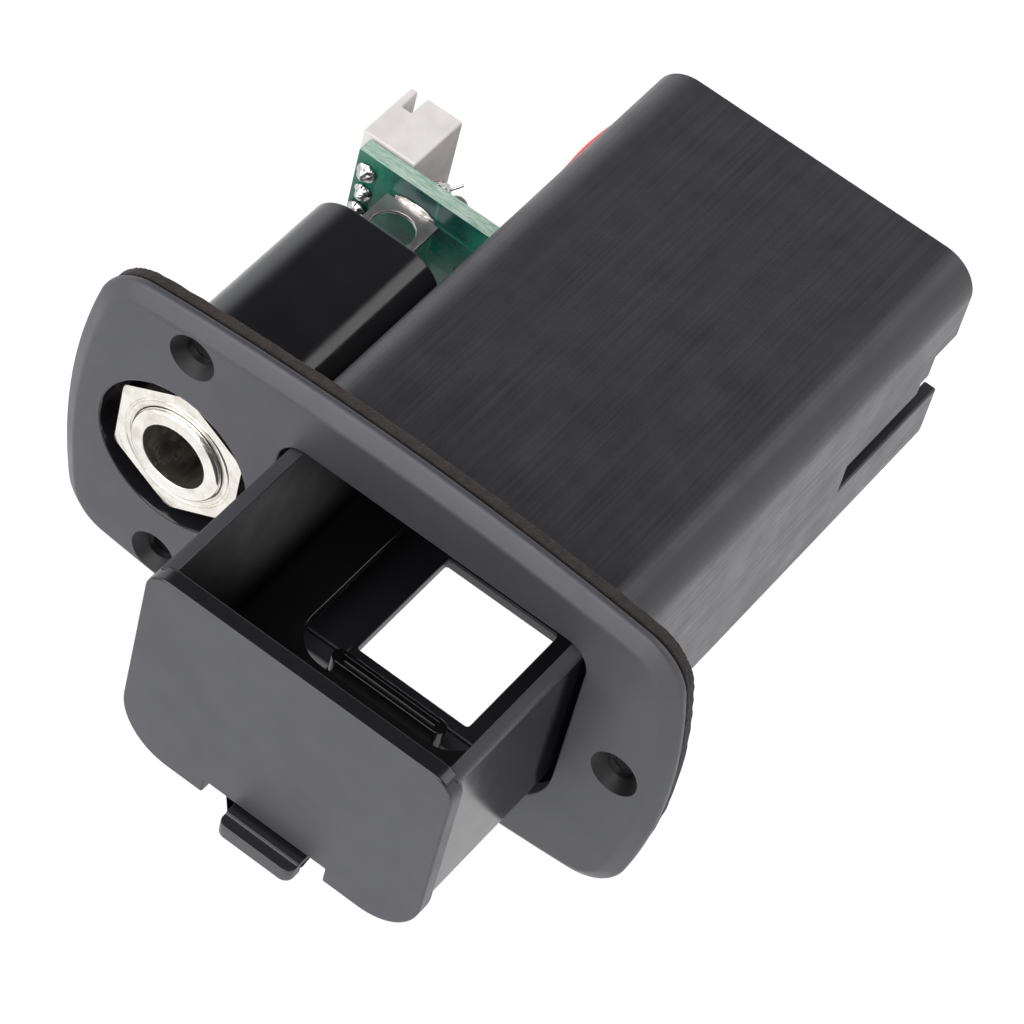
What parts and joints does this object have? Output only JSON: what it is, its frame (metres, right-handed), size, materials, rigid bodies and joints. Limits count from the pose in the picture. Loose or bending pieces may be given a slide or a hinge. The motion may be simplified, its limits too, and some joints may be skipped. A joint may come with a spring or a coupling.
{
  "type": "guitar output jack plate with battery drawer",
  "caption": "Rounded plate for a guitar's side with a phone-plug output jack, a pull-out latching drawer for a 9 V battery, the jack's circuit board and a pin header.",
  "frame": {"origin": "centre of the plate's outline, on the rear face of the gasket, where the plate seats on the instrument's wall", "axes": "+Y into the instrument, at right angles to the plate; +X along the plate, from the jack to the drawer; +Z across the plate, from the drawer's latch to its open side"},
  "size_m": [0.0624, 0.0819, 0.0362],
  "materials": {
    "black_abs": "fine satin, moulded",
    "black_nylon": "semi-gloss, moulded",
    "dark_foam": "open-pored foam sheet",
    "nickel": "bright nickel plate",
    "spring_steel": "nickel-plated sheet",
    "spring_bronze": "rolled sheet",
    "tinned_metal": "tin-plated sheet",
    "green_board": "solder mask on glass laminate",
    "white_nylon": "moulded nylon",
    "red_insulation": "smooth wire insulation",
    "black_insulation": "smooth wire insulation"
  },
  "bodies": {
    "base": {"faceplate": "black_abs", "gasket": "dark_foam", "battery_box": "black_abs", "contact_carrier": "black_abs", "jack_body": "black_nylon", "jack_end_cap": "black_nylon", "jack_bushing": "nickel", "hex_nut": "nickel", "flat_washer": "nickel", "tip_terminal": "tinned_metal", "ring_terminal": "tinned_metal", "ground_lug": "tinned_metal", "circuit_board": "green_board", "header_housing": "white_nylon", "header_pin_1": "tinned_metal", "header_pin_2": "tinned_metal", "header_pin_3": "tinned_metal", "red_lead": "red_insulation", "black_lead": "black_insulation"},
    "drawer": {"battery_drawer": "black_abs"},
    "latch": {"latch_arm": "black_nylon"},
    "positive_leaf": {"positive_contact": "spring_steel"},
    "negative_leaf": {"negative_contact": "spring_steel"},
    "tip_leaf": {"tip_spring": "spring_bronze"},
    "ring_leaf": {"ring_spring": "spring_bronze"}
  },
  "joints": [
    {"name": "drawer_slide", "type": "slide", "parent": "base", "child": "drawer", "axis": [0, -1, 0], "range_m": [-0.0177, 0.026]},
    {"name": "latch_pivot", "type": "hinge", "parent": "drawer", "child": "latch", "pos_m": [0.0059, -0.0082, -0.0101], "axis": [1, 0, 0], "range_deg": [-0.6, 3.4]},
    {"name": "positive_contact_flex", "type": "hinge", "parent": "base", "child": "positive_leaf", "pos_m": [-0.00045, 0.0501, -0.0036], "axis": [-1, 0, 0], "range_deg": [0, 6], "stiffness_Nm_per_rad": 0.15, "springref_deg": -2.86},
    {"name": "negative_contact_flex", "type": "hinge", "parent": "base", "child": "negative_leaf", "pos_m": [0.01225, 0.0501, -0.0036], "axis": [-1, 0, 0], "range_deg": [0, 6], "stiffness_Nm_per_rad": 0.15, "springref_deg": -2.86},
    {"name": "tip_spring_flex", "type": "hinge", "parent": "base", "child": "tip_leaf", "pos_m": [-0.0195, 0.0092, -0.00425], "axis": [-1, 0, 0], "range_deg": [0, 5], "stiffness_Nm_per_rad": 0.2, "springref_deg": -2.86},
    {"name": "ring_spring_flex", "type": "hinge", "parent": "base", "child": "ring_leaf", "pos_m": [-0.01465, 0.0072, 0], "axis": [0, 0, -1], "range_deg": [0, 5.5], "stiffness_Nm_per_rad": 0.2, "springref_deg": -2.86}
  ]
}
